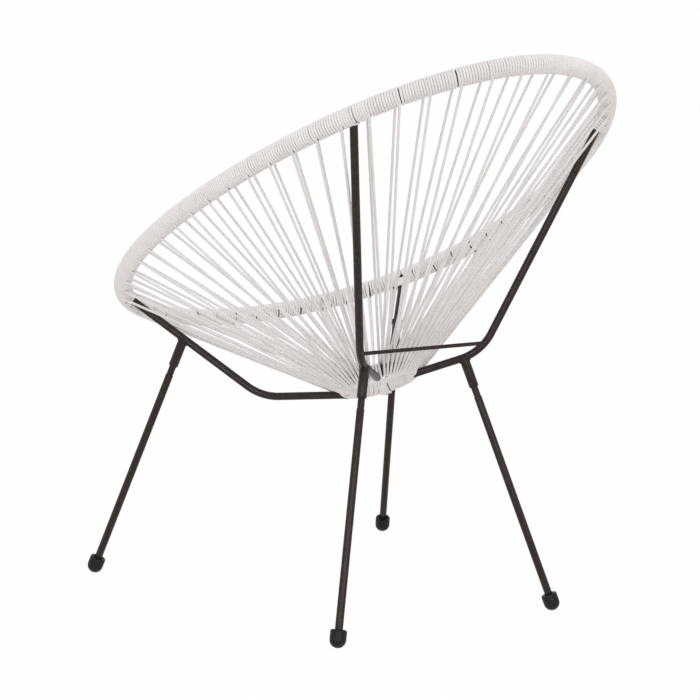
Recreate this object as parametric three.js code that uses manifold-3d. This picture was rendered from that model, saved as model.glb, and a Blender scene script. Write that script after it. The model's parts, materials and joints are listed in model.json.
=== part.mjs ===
// Acapulco chair: an egg-shaped rim of steel tube, strung with white cord down to a small base ring,
// carried by four bent rods and by four legs that screw into sockets under the rods.
// Millimetres. +Z is up, the sitter faces -Y and the sitter's left is +X.
// The origin is on the floor, midway between the rim's front and its back.
import * as THREE from "three";
import Module from "manifold-3d";
import { mergeVertices } from "three/addons/utils/BufferGeometryUtils.js";

const wasm = await Module();
wasm.setup();

// Clearance between pieces that touch, and how far a cutting body runs past what it cuts
const FIT = 0.3;
const OVERRUN = 40;

// Rim: a loop of tube in a plane that leans back, narrower behind the head than at the knees
const RIM_TUBE_D = 20.5;
const RIM_HALF_LENGTH = 447.3;
const RIM_HALF_WIDTH = 357.9;
const RIM_CENTRE_HEIGHT = 625.9;
const RIM_LEAN_DEG = 31.4;
const RIM_TAPER_SHARE = -0.153;
const RIM_FULLNESS_SHARE = 0.027;

// Base ring: a small round loop that the cord is strung down to
const RING_TUBE_D = 16;
const RING_RADIUS = 54;
const RING_BACK = 27.2;
const RING_HEIGHT = 351.9;
const RING_LEAN_DEG = 29.5;

// Rods: each runs from the rim down to one bend, and on as an arm to the base ring
const ROD_D = 12;
const BEND_RADIUS = 80;
const REAR_ROD_RIM_DEG = 48.1;
const REAR_BEND_OUT = 117.4;
const REAR_BEND_BACK = 132;
const REAR_BEND_HEIGHT = 402;
const REAR_ARM_DROP = 10;
const FRONT_ROD_RIM_DEG = 135.7;
const FRONT_BEND_OUT = 125;
const FRONT_BEND_AHEAD = 110;
const FRONT_BEND_HEIGHT = 311;
const FRONT_ARM_DROP = 9.2;

// Brace between the rear rods, a little above their bends
const BRACE_D = 6;
const BRACE_ABOVE_BEND = 16.4;

// Legs: where each foot stands, and how far from its rod's bend its socket is welded
const LEG_D = 12;
const FRONT_FOOT_OUT = 293.1;
const FRONT_FOOT_AHEAD = 325.2;
const REAR_FOOT_OUT = 208;
const REAR_FOOT_BACK = 220.9;
const FRONT_SOCKET_ABOVE_BEND = 153.4;
const REAR_SOCKET_ALONG_ARM = 28.7;

// Socket, and the neck and groove at the leg's top
const SOCKET_D = 15;
const SOCKET_REACH = 48;
const SOCKET_CHAMFER = 0.8;
const NECK_D = 10.8;
const NECK_LENGTH = 14;
const GROOVE_D = 10.2;
const GROOVE_WIDTH = 2;

// Stud that joins the leg to its socket
const STUD_D = 8;
const STUD_IN_SOCKET = 24;
const STUD_IN_LEG = 20;
const STUD_TIP = 1;

// Rubber foot cap: a cup with a domed end and a small flat that stands on the floor
const CAP_D = 25;
const CAP_LENGTH = 27;
const CAP_SEAT_DEPTH = 16;
const CAP_LIP = 2;
const CAP_FLAT_DEPTH = 0.5;

// Cord: its diameter, its stations between the rods, and how it is wound
const CORD_D = 4;
const REAR_STATIONS = [4, 5, 4];
const SIDE_STATIONS = [4, 4, 4, 4];
const FRONT_STATIONS = [5, 5, 5];
const STRAND_OFFSET = 4;
const CORD_END_GAP = 0.6;
const ARM_GAP_DEG = 16;
const RIM_TURNS = 1;
const REAL_RIM_TURNS = 8;
const REAL_RING_TURNS = 1;

// Facets: how many sides and steps each form gets
const RIM_STEPS = 96;
const RING_STEPS = 40;
const TUBE_SIDES = 10;
const BEND_STEPS = 7;
const ROD_SIDES = 12;
const TURNED_SIDES = 16;
const DOME_STEPS = 4;
const TURN_STEPS = 8;
const LENGTH_SAMPLES = 1440;

const steel = { color: 0x3a3433, roughness: 0.5, metalness: 0.3 };
const zinc = { color: 0x9a9a98, roughness: 0.35, metalness: 0.9 };
const rubber = { color: 0x201e1e, roughness: 0.85, metalness: 0 };
const whiteCord = { color: 0xf0eeea, roughness: 0.45, metalness: 0 };

const UP = new THREE.Vector3(0, 0, 1);
const RIM_LEAN = THREE.MathUtils.degToRad(RIM_LEAN_DEG);
const RING_LEAN = THREE.MathUtils.degToRad(RING_LEAN_DEG);
const HALF_TURN = Math.PI;
const FULL_TURN = 2 * Math.PI;

const chair = new THREE.Group();

function addPiece(name, geometry, look) {
  const piece = new THREE.Mesh(geometry, new THREE.MeshStandardMaterial(look));
  piece.name = name;
  chair.add(piece);
}

// A closed geometry as a solid, and back again
function solidOf(geometry) {
  const bare = geometry.clone();
  bare.deleteAttribute("normal");
  bare.deleteAttribute("uv");
  const merged = mergeVertices(bare, 1e-4 * FIT);
  return new wasm.Manifold(
    new wasm.Mesh({
      numProp: 3,
      vertProperties: merged.attributes.position.array,
      triVerts: new Uint32Array(merged.index.array),
    }),
  );
}

function geometryOf(solid) {
  const mesh = solid.getMesh();
  const geometry = new THREE.BufferGeometry();
  geometry.setAttribute("position", new THREE.BufferAttribute(mesh.vertProperties, 3));
  geometry.setIndex(new THREE.BufferAttribute(mesh.triVerts, 1));
  geometry.computeVertexNormals();
  return geometry;
}

// The rim's middle line. An angle of zero is the top of the back, and a quarter turn is the sitter's left.
class RimCurve extends THREE.Curve {
  getPoint(share, target = new THREE.Vector3()) {
    const angle = share * FULL_TURN;
    const egg = 1 + RIM_TAPER_SHARE * Math.cos(angle) + RIM_FULLNESS_SHARE * Math.cos(2 * angle);
    const along = RIM_HALF_LENGTH * Math.cos(angle);
    return target.set(
      RIM_HALF_WIDTH * Math.sin(angle) * egg,
      along * Math.cos(RIM_LEAN),
      RIM_CENTRE_HEIGHT + along * Math.sin(RIM_LEAN),
    );
  }
}

// The base ring's middle line, from its rearmost point, the same way round
class RingCurve extends THREE.Curve {
  getPoint(share, target = new THREE.Vector3()) {
    const angle = share * FULL_TURN;
    const along = RING_RADIUS * Math.cos(angle);
    return target.set(
      RING_RADIUS * Math.sin(angle),
      RING_BACK + along * Math.cos(RING_LEAN),
      RING_HEIGHT + along * Math.sin(RING_LEAN),
    );
  }
}

// A rod's middle line: a straight run, a round bend and an arm, with its steps kept in the bend
class RodCurve extends THREE.Curve {
  constructor(start, corner, end) {
    super();
    this.start = start;
    this.end = end;
    this.first = corner.clone().sub(start).normalize();
    this.second = end.clone().sub(corner).normalize();
    this.turn = this.first.angleTo(this.second);
    const tangentLength = BEND_RADIUS * Math.tan(this.turn / 2);
    this.bendStart = corner.clone().addScaledVector(this.first, -tangentLength);
    this.bendEnd = corner.clone().addScaledVector(this.second, tangentLength);
    this.inward = this.second.clone().addScaledVector(this.first, -Math.cos(this.turn)).normalize();
    this.steps = BEND_STEPS + 2;
  }
  getPoint(share, target = new THREE.Vector3()) {
    const step = share * this.steps;
    if (step <= 1) return target.lerpVectors(this.start, this.bendStart, step);
    if (step >= this.steps - 1) return target.lerpVectors(this.bendEnd, this.end, step - this.steps + 1);
    const turned = ((step - 1) / BEND_STEPS) * this.turn;
    return target
      .copy(this.bendStart)
      .addScaledVector(this.first, BEND_RADIUS * Math.sin(turned))
      .addScaledVector(this.inward, BEND_RADIUS * (1 - Math.cos(turned)));
  }
  // Points are taken by step and not by length
  getUtoTmapping(share) {
    return share;
  }
}

const rimCurve = new RimCurve();
const ringCurve = new RingCurve();
const rimLengths = rimCurve.getLengths(LENGTH_SAMPLES);
const rimLength = rimLengths[LENGTH_SAMPLES];

// The length of rim from the top of the back to an angle, and the share of a turn at a length
function rimLengthAt(degrees) {
  const place = (degrees / 360) * LENGTH_SAMPLES;
  const whole = Math.floor(place);
  return THREE.MathUtils.lerp(rimLengths[whole], rimLengths[whole + 1], place - whole);
}

function rimShareAt(length) {
  const wrapped = THREE.MathUtils.euclideanModulo(length, rimLength);
  let low = 0;
  let high = LENGTH_SAMPLES;
  while (high - low > 1) {
    const middle = Math.floor((low + high) / 2);
    if (rimLengths[middle] <= wrapped) low = middle;
    else high = middle;
  }
  return (low + (wrapped - rimLengths[low]) / (rimLengths[high] - rimLengths[low])) / LENGTH_SAMPLES;
}

function rimTube(radius) {
  return new THREE.TubeGeometry(rimCurve, RIM_STEPS, radius, TUBE_SIDES, true);
}

function ringTube(radius) {
  return new THREE.TubeGeometry(ringCurve, RING_STEPS, radius, TUBE_SIDES, true);
}

// A round bar along a rod's curve or a straight line
function barAlong(curve, diameter, steps) {
  const section = new THREE.Shape().absarc(0, 0, diameter / 2, 0, FULL_TURN);
  return new THREE.ExtrudeGeometry(section, {
    steps,
    curveSegments: ROD_SIDES / 2,
    bevelEnabled: false,
    extrudePath: curve,
  });
}

const sideName = { 1: "left", [-1]: "right" };
const ringNormal = new THREE.Vector3(0, -Math.sin(RING_LEAN), Math.cos(RING_LEAN));

// The cord's stations share the ring evenly, with a gap for each rod's arm
const rearCount = REAR_STATIONS.reduce((sum, count) => sum + count);
const sideCount = SIDE_STATIONS.reduce((sum, count) => sum + count);
const frontCount = FRONT_STATIONS.reduce((sum, count) => sum + count);
const stationCount = rearCount + 2 * sideCount + frontCount;
const ringPitchDeg = (360 - 4 * ARM_GAP_DEG) / stationCount;
const rearArmDeg = (rearCount * ringPitchDeg + ARM_GAP_DEG) / 2;
const frontArmDeg = rearArmDeg + sideCount * ringPitchDeg + ARM_GAP_DEG;

const rearRod = {
  place: "rear",
  rimDeg: REAR_ROD_RIM_DEG,
  ringDeg: rearArmDeg,
  corner: new THREE.Vector3(REAR_BEND_OUT, REAR_BEND_BACK, REAR_BEND_HEIGHT),
  drop: REAR_ARM_DROP,
  foot: new THREE.Vector3(REAR_FOOT_OUT, REAR_FOOT_BACK, 0),
};
const frontRod = {
  place: "front",
  rimDeg: FRONT_ROD_RIM_DEG,
  ringDeg: frontArmDeg,
  corner: new THREE.Vector3(FRONT_BEND_OUT, -FRONT_BEND_AHEAD, FRONT_BEND_HEIGHT),
  drop: FRONT_ARM_DROP,
  foot: new THREE.Vector3(FRONT_FOOT_OUT, -FRONT_FOOT_AHEAD, 0),
};

function mirrored(point, side) {
  return point.clone().setX(point.x * side);
}

function rodEnds(rod) {
  const top = rimCurve.getPoint(rod.rimDeg / 360);
  const end = ringCurve.getPoint(rod.ringDeg / 360).addScaledVector(ringNormal, -rod.drop);
  return { top, end };
}

// Where a leg's socket is welded: on the front rod's upright and on the rear rod's arm
function legSeat(rod) {
  const { top, end } = rodEnds(rod);
  if (rod.place === "front") {
    const upward = top.sub(rod.corner).normalize();
    return rod.corner.clone().addScaledVector(upward, FRONT_SOCKET_ABOVE_BEND);
  }
  const inward = end.sub(rod.corner).normalize();
  return rod.corner.clone().addScaledVector(inward, REAR_SOCKET_ALONG_ARM);
}

function rodSolid(rod, side, diameter) {
  const { top, end } = rodEnds(rod);
  const curve = new RodCurve(mirrored(top, side), mirrored(rod.corner, side), mirrored(end, side));
  return solidOf(barAlong(curve, diameter, curve.steps));
}

function addRims() {
  addPiece("rim_tube", rimTube(RIM_TUBE_D / 2), steel);
  addPiece("base_ring", ringTube(RING_TUBE_D / 2), steel);
}

// Each rod is coped to the rim and to the base ring
function addRod(rod, side) {
  const bar = rodSolid(rod, side, ROD_D)
    .subtract(solidOf(rimTube(RIM_TUBE_D / 2 + FIT)))
    .subtract(solidOf(ringTube(RING_TUBE_D / 2 + FIT)));
  addPiece(`${rod.place}_${sideName[side]}_rod`, geometryOf(bar), steel);
}

function addBrace() {
  const { top } = rodEnds(rearRod);
  const upward = top.sub(rearRod.corner).normalize();
  const end = rearRod.corner.clone().addScaledVector(upward, BRACE_ABOVE_BEND);
  const line = new THREE.LineCurve3(mirrored(end, -1), end);
  const bar = solidOf(barAlong(line, BRACE_D, 1))
    .subtract(rodSolid(rearRod, 1, ROD_D + 2 * FIT))
    .subtract(rodSolid(rearRod, -1, ROD_D + 2 * FIT));
  addPiece("rear_brace", geometryOf(bar), steel);
}

// A turned piece whose profile of [radius, height] pairs is closed on itself
function turned(profile) {
  const points = [...profile, profile[0]].map(([radius, height]) => new THREE.Vector2(radius, height));
  return new THREE.LatheGeometry(points, TURNED_SIDES).rotateX(HALF_TURN / 2);
}

// The cap's dome touches the floor under its own centre, so that centre is where the leg's axis ends
const capRadius = CAP_D / 2;
const capCentreHeight = capRadius - CAP_FLAT_DEPTH;
const boreRadius = STUD_D / 2 + FIT;

function legAxis(rod, side) {
  const foot = mirrored(rod.foot, side).setZ(capCentreHeight);
  const seat = mirrored(legSeat(rod), side);
  const length = foot.distanceTo(seat);
  const turn = new THREE.Quaternion().setFromUnitVectors(UP, seat.sub(foot).normalize());
  const place = new THREE.Matrix4().compose(foot, turn, new THREE.Vector3(1, 1, 1));
  return { length, place };
}

function socketProfile(mouth, top) {
  const radius = SOCKET_D / 2;
  const boreTop = mouth + STUD_IN_SOCKET + STUD_TIP;
  return [
    [0, boreTop],
    [boreRadius, boreTop],
    [boreRadius, mouth],
    [radius - SOCKET_CHAMFER, mouth],
    [radius, mouth + SOCKET_CHAMFER],
    [radius, top],
    [0, top],
  ];
}

function studProfile(middle) {
  const radius = STUD_D / 2;
  const top = middle + STUD_IN_SOCKET;
  const bottom = middle - STUD_IN_LEG;
  return [
    [0, bottom],
    [radius - STUD_TIP, bottom],
    [radius, bottom + STUD_TIP],
    [radius, top - STUD_TIP],
    [radius - STUD_TIP, top],
    [0, top],
  ];
}

function legProfile(bottom, top) {
  const radius = LEG_D / 2;
  const grooveTop = top - NECK_LENGTH;
  const grooveBottom = grooveTop - GROOVE_WIDTH;
  return [
    [boreRadius, bottom],
    [radius, bottom],
    [radius, grooveBottom],
    [GROOVE_D / 2, grooveBottom],
    [GROOVE_D / 2, grooveTop],
    [NECK_D / 2, grooveTop],
    [NECK_D / 2, top],
    [boreRadius, top],
  ];
}

function capProfile(seatFloor, rimHeight) {
  const dome = [];
  for (let step = 0; step <= DOME_STEPS; step += 1) {
    const angle = (step / DOME_STEPS) * (HALF_TURN / 2);
    dome.push([capRadius * Math.sin(angle), -capRadius * Math.cos(angle)]);
  }
  dome[0][0] = 0;
  const seatRadius = LEG_D / 2 + FIT;
  return [
    ...dome,
    [capRadius, rimHeight - CAP_LIP],
    [capRadius - CAP_LIP / 2, rimHeight],
    [seatRadius, rimHeight],
    [seatRadius, seatFloor],
    [0, seatFloor],
  ];
}

// A profile that starts and ends on the axis needs no closing point
function turnedOnAxis(profile) {
  const points = profile.map(([radius, height]) => new THREE.Vector2(radius, height));
  return new THREE.LatheGeometry(points, TURNED_SIDES).rotateX(HALF_TURN / 2);
}

// Socket, stud, leg and foot cap on one axis, from the floor up to the rod
function addLeg(rod, side) {
  const name = `${rod.place}_${sideName[side]}_leg`;
  const { length, place } = legAxis(rod, side);
  const mouth = length - SOCKET_REACH;
  const legTop = mouth - FIT;
  const capRim = CAP_LENGTH - capRadius;
  const seatFloor = capRim - CAP_SEAT_DEPTH;

  const socket = solidOf(turnedOnAxis(socketProfile(mouth, length)).applyMatrix4(place));
  const coped = socket.subtract(rodSolid(rod, side, ROD_D + 2 * FIT));
  addPiece(`${name}_socket`, geometryOf(coped), steel);

  addPiece(`${name}_stud`, turnedOnAxis(studProfile(mouth)).applyMatrix4(place), zinc);
  addPiece(name, turned(legProfile(seatFloor + FIT, legTop)).applyMatrix4(place), steel);

  const cap = solidOf(turnedOnAxis(capProfile(seatFloor, capRim)).applyMatrix4(place));
  const below = new THREE.BoxGeometry(OVERRUN, OVERRUN, OVERRUN);
  below.translate(side * rod.foot.x, rod.foot.y, -OVERRUN / 2);
  addPiece(`${rod.place}_${sideName[side]}_foot_cap`, geometryOf(cap.subtract(solidOf(below))), rubber);
}

// The cord has a square section with the round cord's girth, and flats that lie on the tube
const cordSide = (CORD_D * Math.PI) / 4;
const turnStep = FULL_TURN / TURN_STEPS;
const rimWinding = (RIM_TUBE_D / 2 + FIT + cordSide / 2) / Math.cos(turnStep / 2);
const ringWinding = (RING_TUBE_D / 2 + FIT + cordSide / 2) / Math.cos(turnStep / 2);

// The rods cut the rim into four bays, each with its cord in a few lengths
const rearAlong = rimLengthAt(REAR_ROD_RIM_DEG);
const frontAlong = rimLengthAt(FRONT_ROD_RIM_DEG);
const bays = [
  { name: "rear", lots: REAR_STATIONS, from: -rearAlong, to: rearAlong, ringFrom: -rearArmDeg },
  { name: "left", lots: SIDE_STATIONS, from: rearAlong, to: frontAlong, ringFrom: rearArmDeg },
  { name: "front", lots: FRONT_STATIONS, from: frontAlong, to: rimLength - frontAlong, ringFrom: frontArmDeg },
  {
    name: "right",
    lots: SIDE_STATIONS,
    from: rimLength - frontAlong,
    to: rimLength - rearAlong,
    ringFrom: 360 - frontArmDeg,
  },
];

// A station is where one loop of cord leaves the rim for the ring and comes back
const stations = [];
for (const bay of bays) {
  const count = bay.lots.reduce((sum, lot) => sum + lot);
  const spacing = (bay.to - bay.from) / count;
  for (let i = 0; i < count; i += 1) {
    stations.push({
      along: bay.from + (i + 0.5) * spacing,
      ringDeg: bay.ringFrom + ARM_GAP_DEG / 2 + (i + 0.5) * ringPitchDeg,
      lastInBay: i === count - 1,
    });
  }
}

function stationAt(index) {
  const lap = Math.floor(index / stations.length);
  const station = stations[index - lap * stations.length];
  return {
    along: station.along + lap * rimLength,
    ringDeg: station.ringDeg + lap * 360,
    lastInBay: station.lastInBay,
  };
}

// Directions square to a tube: towards the other tube, and outwards from the seat
function facings(tangent, toward) {
  const down = toward.clone().addScaledVector(tangent, -toward.dot(tangent)).normalize();
  const out = new THREE.Vector3().crossVectors(tangent, down).normalize();
  return { down, out };
}

function wound(middle, tangent, toward, radius, turn) {
  const { down, out } = facings(tangent, toward);
  const face = out.multiplyScalar(Math.cos(turn)).addScaledVector(down, Math.sin(turn));
  return { point: middle.clone().addScaledVector(face, radius), face };
}

function onRim(along, ringDeg, turn) {
  const share = rimShareAt(along);
  const middle = rimCurve.getPoint(share);
  const toward = ringCurve.getPoint(ringDeg / 360).sub(middle);
  return wound(middle, rimCurve.getTangent(share), toward, rimWinding, turn);
}

function onRing(along, ringDeg, turn) {
  const share = ringDeg / 360;
  const middle = ringCurve.getPoint(share);
  const toward = middle.clone().sub(rimCurve.getPoint(rimShareAt(along)));
  return wound(middle, ringCurve.getTangent(THREE.MathUtils.euclideanModulo(share, 1)), toward, ringWinding, turn);
}

// The cord from one station's return to the next one's departure: over the top of the rim, and with
// whole turns round it where no rod is in the way
function rimStretch(index) {
  const here = stationAt(index);
  const next = stationAt(index + 1);
  const turns = here.lastInBay ? 0 : RIM_TURNS;
  const steps = TURN_STEPS * (turns + 0.5);
  const points = [];
  for (let step = 0; step <= steps; step += 1) {
    const share = step / steps;
    const along = THREE.MathUtils.lerp(here.along + STRAND_OFFSET, next.along - STRAND_OFFSET, share);
    const ringDeg = THREE.MathUtils.lerp(here.ringDeg, next.ringDeg, share);
    points.push(onRim(along, ringDeg, HALF_TURN + step * turnStep));
  }
  return points;
}

// The half turn under the ring between the outer strand and the inner one
function ringStretch(index) {
  const { along, ringDeg } = stationAt(index);
  const points = [];
  for (let step = 0; step <= TURN_STEPS / 2; step += 1) {
    const share = step / (TURN_STEPS / 2);
    points.push(onRing(along, ringDeg + (share - 0.5) * (ringPitchDeg / 2), step * turnStep));
  }
  return points;
}

// A stretch of winding is cut square across the middle of one of its straight steps
function cutWinding(points) {
  const before = Math.floor(points.length / 2);
  const a = points[before];
  const b = points[before + 1];
  const half = CORD_END_GAP / 2 / a.point.distanceTo(b.point);
  const face = a.face.clone().add(b.face).normalize();
  const end = { point: a.point.clone().lerp(b.point, 0.5 - half), face };
  const start = { point: a.point.clone().lerp(b.point, 0.5 + half), face };
  return { first: [...points.slice(0, before + 1), end], second: [start, ...points.slice(before + 1)] };
}

function cordRoute(firstStation, count) {
  const route = [...cutWinding(rimStretch(firstStation - 1)).second];
  for (let index = firstStation; index < firstStation + count; index += 1) {
    route.push(...ringStretch(index));
    const winding = rimStretch(index);
    const isLast = index === firstStation + count - 1;
    route.push(...(isLast ? cutWinding(winding).first : winding));
  }
  return route;
}

// The square section's corners at each point of a route, mitred where the route bends
function cordCorners(route) {
  return route.map(({ point, face }, i) => {
    const before = route[Math.max(i - 1, 0)].point;
    const after = route[Math.min(i + 1, route.length - 1)].point;
    const into = point.clone().sub(before).normalize();
    const onward = after.clone().sub(point).normalize();
    const along = into.clone().add(onward).normalize();
    const across = new THREE.Vector3().crossVectors(face, along).normalize();
    const outward = new THREE.Vector3().crossVectors(along, across);
    const mitre = Math.max(into.dot(along), onward.dot(along));
    const high = outward.multiplyScalar(cordSide / 2 / mitre);
    const wide = across.multiplyScalar(cordSide / 2);
    return [
      point.clone().add(wide).add(high),
      point.clone().sub(wide).add(high),
      point.clone().sub(wide).sub(high),
      point.clone().add(wide).sub(high),
    ];
  });
}

function cordGeometry(corners) {
  const position = [];
  corners.forEach((ring) => ring.forEach((corner) => position.push(corner.x, corner.y, corner.z)));
  const index = [0, 2, 1, 0, 3, 2];
  for (let ring = 0; ring < corners.length - 1; ring += 1) {
    for (let side = 0; side < 4; side += 1) {
      const a = 4 * ring + side;
      const b = 4 * ring + ((side + 1) % 4);
      index.push(a, b, a + 4, b, b + 4, a + 4);
    }
  }
  const last = 4 * (corners.length - 1);
  index.push(last, last + 1, last + 2, last, last + 2, last + 3);
  const geometry = new THREE.BufferGeometry();
  geometry.setAttribute("position", new THREE.Float32BufferAttribute(position, 3));
  geometry.setIndex(index);
  geometry.computeVertexNormals();
  return geometry;
}

function routeLength(route) {
  let length = 0;
  for (let i = 1; i < route.length; i += 1) length += route[i].point.distanceTo(route[i - 1].point);
  return length;
}

// The least gap between parts of one cord that aren't next to each other along it, on points of its
// edges taken every diameter or so
function leastGap(route, corners) {
  const samples = [];
  let travelled = 0;
  for (let i = 1; i < route.length; i += 1) {
    const length = route[i].point.distanceTo(route[i - 1].point);
    const count = Math.ceil(length / CORD_D);
    for (let k = 0; k < count; k += 1) {
      const share = k / count;
      samples.push({
        travelled: travelled + share * length,
        middle: route[i - 1].point.clone().lerp(route[i].point, share),
        edges: corners[i - 1].map((corner, edge) => corner.clone().lerp(corners[i][edge], share)),
      });
    }
    travelled += length;
  }
  let least = Infinity;
  for (let i = 0; i < samples.length; i += 1) {
    for (let j = i + 1; j < samples.length; j += 1) {
      const apartAlong = samples[j].travelled - samples[i].travelled > 4 * CORD_D;
      if (apartAlong && samples[i].middle.distanceTo(samples[j].middle) < 2 * CORD_D) {
        for (const a of samples[i].edges) {
          for (const b of samples[j].edges) least = Math.min(least, a.distanceTo(b));
        }
      }
    }
  }
  return least;
}

function addCords() {
  let firstStation = 0;
  let total = 0;
  for (const bay of bays) {
    bay.lots.forEach((count, lot) => {
      const name = `cord_${bay.name}_${lot + 1}`;
      const route = cordRoute(firstStation, count);
      const corners = cordCorners(route);
      addPiece(name, cordGeometry(corners), whiteCord);
      const length = routeLength(route);
      console.log(`${name}: ${length.toFixed(0)} mm, least gap ${leastGap(route, corners).toFixed(2)} mm`);
      firstStation += count;
      total += length;
    });
  }
  const rimTurn = Math.PI * (RIM_TUBE_D + CORD_D);
  const ringTurn = Math.PI * (RING_TUBE_D + CORD_D);
  const wholeIntervals = stationCount - bays.length;
  const real = total
    + wholeIntervals * (REAL_RIM_TURNS - RIM_TURNS) * rimTurn
    + stationCount * REAL_RING_TURNS * ringTurn;
  console.log(`cord drawn ${(total / 1000).toFixed(1)} m, real cord about ${(real / 1000).toFixed(0)} m`);
}

addRims();
for (const side of [1, -1]) {
  for (const rod of [rearRod, frontRod]) {
    addRod(rod, side);
    addLeg(rod, side);
  }
}
addBrace();
addCords();

export default chair;
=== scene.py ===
# %% [markdown]
# # A corded garden chair
#
# The real chair is a welded steel frame with one long plastic cord wound on it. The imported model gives
# the frame at its real size. This lesson dresses it: smooth bent bars, weld beads, turned legs, moulded
# feet, and the whole winding at its real pitch. Everything is in metres, and MM turns a maker's
# millimetres into them.

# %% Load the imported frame
import json
import math
import random

import bmesh
import bpy
from mathutils import Matrix, Vector


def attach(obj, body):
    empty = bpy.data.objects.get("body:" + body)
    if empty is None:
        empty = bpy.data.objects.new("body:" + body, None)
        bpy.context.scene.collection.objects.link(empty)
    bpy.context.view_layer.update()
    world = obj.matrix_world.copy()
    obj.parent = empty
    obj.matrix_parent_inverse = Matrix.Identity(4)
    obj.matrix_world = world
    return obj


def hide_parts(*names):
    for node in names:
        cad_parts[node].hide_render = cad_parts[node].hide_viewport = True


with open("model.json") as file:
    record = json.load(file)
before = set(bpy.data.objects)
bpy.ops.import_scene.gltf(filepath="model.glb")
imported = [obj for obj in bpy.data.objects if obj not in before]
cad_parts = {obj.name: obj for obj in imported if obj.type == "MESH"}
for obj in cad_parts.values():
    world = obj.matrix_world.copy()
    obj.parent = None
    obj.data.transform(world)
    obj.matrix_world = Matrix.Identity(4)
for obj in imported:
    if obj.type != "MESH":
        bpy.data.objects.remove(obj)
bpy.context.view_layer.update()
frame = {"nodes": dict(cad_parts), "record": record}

MM = 0.001
HALF_TURN = math.pi
FULL_TURN = 2 * math.pi

# %% [markdown]
# ## Two small helpers
#
# Colours are written as sRGB hex values, as a paint chart gives them, and the shader wants linear light,
# so one function turns them. The second helper adds any node, sets its properties and fills its inputs
# with values or links, so a tree reads from top to bottom.

# %% Colour and node helpers
def linear(code):
    """An sRGB hex colour as linear red, green, blue and alpha."""
    channels = [int(code[i:i + 2], 16) / 255 for i in (0, 2, 4)]
    return (*[c / 12.92 if c <= 0.04045 else ((c + 0.055) / 1.055) ** 2.4 for c in channels], 1)


def add_node(tree, kind, inputs=None, **settings):
    """Adds a node. Each input is given by its name or number, as a value or as the output to link."""
    new = tree.nodes.new(kind)
    for name, value in settings.items():
        setattr(new, name, value)
    for key, value in (inputs or {}).items():
        if isinstance(value, bpy.types.NodeSocket):
            tree.links.new(value, new.inputs[key])
        else:
            new.inputs[key].default_value = value
    return new


# %% [markdown]
# ## The camera
#
# The photograph is a product shot taken from behind, from the sitter's left, a little above the seat.
# Its angle, distance and lens were found by fitting the frame's known lines to the picture, so they are
# plain numbers here. The camera's own axes are built from azimuth, elevation and roll.

# %% Camera
PICTURE_WIDTH_PX = 700
FOCAL_PX = 2427.2
SENSOR = 36.0
CAMERA_PLACE = Vector((2.2759, 2.9640, 1.0063))
CAMERA_AZIMUTH = math.radians(142.94)
CAMERA_ELEVATION = math.radians(9.33)
CAMERA_ROLL = math.radians(2.0)


def camera_axes():
    """The camera's right, up and backward directions."""
    azimuth, elevation, roll = CAMERA_AZIMUTH, CAMERA_ELEVATION, CAMERA_ROLL
    back = Vector((
        math.sin(azimuth) * math.cos(elevation),
        -math.cos(azimuth) * math.cos(elevation),
        math.sin(elevation),
    ))
    level = Vector((math.cos(azimuth), math.sin(azimuth), 0))
    upright = back.cross(level)
    right = level * math.cos(roll) + upright * math.sin(roll)
    up = upright * math.cos(roll) - level * math.sin(roll)
    return right, up, back


right, up, back = camera_axes()
camera_data = bpy.data.cameras.new("camera")
camera_data.sensor_width = SENSOR
camera_data.lens = SENSOR * FOCAL_PX / PICTURE_WIDTH_PX
camera_data.clip_end = 100
camera = bpy.data.objects.new("camera", camera_data)
camera.matrix_world = Matrix.Translation(CAMERA_PLACE) @ Matrix((right, up, back)).transposed().to_4x4()
bpy.context.scene.collection.objects.link(camera)
bpy.context.scene.camera = camera
print("lens", round(camera_data.lens, 1), "mm")

# %% [markdown]
# ## Light and floor
#
# A white sweep, as a product studio has. All of it glows a little. The side behind the photographer and
# the ceiling glow more, so a round white strand is bright in its middle and greyer at its edges. Lamps
# could do this too, but a glowing sky lights a thin strand evenly from all sides. Two narrow strip lamps
# only draw the highlights on the round bars. The background looks white to the camera and in a gloss.

# %% World
AMBIENT_STRENGTH = 0.36
KEY_STRENGTH = 0.95
KEY_FOCUS = 4.0
KEY_RAISE = 0.25
KEY_DIRECTION = (back + KEY_RAISE * up).normalized()
TOP_STRENGTH = 0.5
TOP_FOCUS = 1.0
world = bpy.data.worlds.new("studio")
world.use_nodes = True
sky = world.node_tree
sky.nodes.clear()


def background_share(tree):
    """1 for a ray that looks at the background, straight or by a gloss or through glass, and else 0."""
    path = add_node(tree, "ShaderNodeLightPath")
    seen = path.outputs["Is Camera Ray"]
    for kind in ("Is Glossy Ray", "Is Transmission Ray"):
        either = add_node(tree, "ShaderNodeMath", {0: seen, 1: path.outputs[kind]}, operation="MAXIMUM")
        seen = either.outputs[0]
    return seen


directions = add_node(sky, "ShaderNodeTexCoord").outputs["Generated"]


def brighter(base, direction, strength, focus):
    """The base strength of the sky's light, and more of it towards one direction."""
    facing = add_node(sky, "ShaderNodeVectorMath", {0: directions, 1: direction}, operation="DOT_PRODUCT")
    ahead = add_node(sky, "ShaderNodeMath", {0: facing.outputs["Value"], 1: 0.0}, operation="MAXIMUM")
    lobe = add_node(sky, "ShaderNodeMath", {0: ahead.outputs[0], 1: focus}, operation="POWER")
    total = add_node(sky, "ShaderNodeMath", {
        0: lobe.outputs[0], 1: strength, 2: base,
    }, operation="MULTIPLY_ADD")
    return total.outputs[0]


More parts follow.
